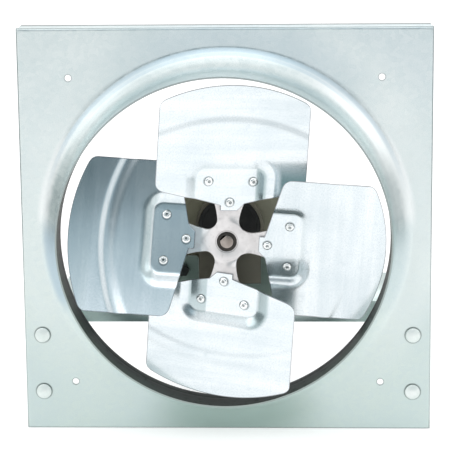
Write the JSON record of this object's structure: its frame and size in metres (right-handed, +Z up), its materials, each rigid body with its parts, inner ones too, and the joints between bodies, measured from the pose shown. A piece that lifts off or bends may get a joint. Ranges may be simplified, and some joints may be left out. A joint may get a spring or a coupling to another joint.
{
  "type": "wall exhaust fan",
  "caption": "Square galvanised wall panel drawn into a round collar, with a four-bladed propeller on the shaft of a motor held in rubber rings on a shelf behind it",
  "frame": {"origin": "centre of the front face of the wall panel, which is the centre of the hole that it covers", "axes": "+Z up, -Y forwards, the way the air leaves, +X to the right seen from the front"},
  "size_m": [0.4064, 0.2248, 0.4064],
  "materials": {
    "galvanised": "galvanised sheet, satin",
    "zinc": "zinc plated",
    "blade_metal": "mill-finish sheet",
    "shaft_steel": "bright steel",
    "motor_paint": "satin enamel, brown grey",
    "rubber": "matt",
    "laminations": "stacked electrical steel",
    "copper": "varnished copper wire",
    "bronze": "sintered bronze"
  },
  "bodies": {
    "frame": {"wall_panel": "galvanised", "right_shelf_bracket": "galvanised", "left_shelf_bracket": "galvanised", "motor_shelf": "galvanised", "motor_cradle": "galvanised", "carriage_bolt_1": "zinc", "carriage_bolt_2": "zinc", "carriage_bolt_3": "zinc", "carriage_bolt_4": "zinc", "cradle_bolt_1": "zinc", "cradle_bolt_2": "zinc", "cradle_bolt_3": "zinc", "cradle_bolt_4": "zinc", "hanger_bolt_1": "zinc", "hanger_bolt_2": "zinc", "hanger_bolt_3": "zinc", "hanger_bolt_4": "zinc", "through_bolt_1": "zinc", "through_bolt_2": "zinc", "through_bolt_3": "zinc", "through_bolt_4": "zinc", "front_pinch_screw": "zinc", "rear_pinch_screw": "zinc", "cover_screw_1": "zinc", "cover_screw_2": "zinc", "front_ring_hanger": "motor_paint", "rear_ring_hanger": "motor_paint", "front_end_shield": "motor_paint", "rear_end_shield": "motor_paint", "motor_shell": "motor_paint", "terminal_box": "motor_paint", "terminal_box_cover": "motor_paint", "front_cushion_ring": "rubber", "rear_cushion_ring": "rubber", "front_bearing": "bronze", "rear_bearing": "bronze", "front_winding": "copper", "rear_winding": "copper", "stator_core": "laminations"},
    "rotor": {"motor_shaft": "shaft_steel", "hub_set_screw": "shaft_steel", "propeller_spider": "shaft_steel", "rivet_1": "shaft_steel", "rivet_2": "shaft_steel", "rivet_3": "shaft_steel", "rivet_4": "shaft_steel", "rivet_5": "shaft_steel", "rivet_6": "shaft_steel", "rivet_7": "shaft_steel", "rivet_8": "shaft_steel", "rivet_9": "shaft_steel", "rivet_10": "shaft_steel", "rivet_11": "shaft_steel", "rivet_12": "shaft_steel", "rotor_core": "laminations", "propeller_hub": "zinc", "blade_1": "blade_metal", "blade_2": "blade_metal", "blade_3": "blade_metal", "blade_4": "blade_metal"}
  },
  "joints": [
    {"name": "propeller_spin", "type": "hinge", "parent": "frame", "child": "rotor", "pos_m": [0.0025, 0, 0], "axis": [0, 1, 0], "continuous": true}
  ]
}
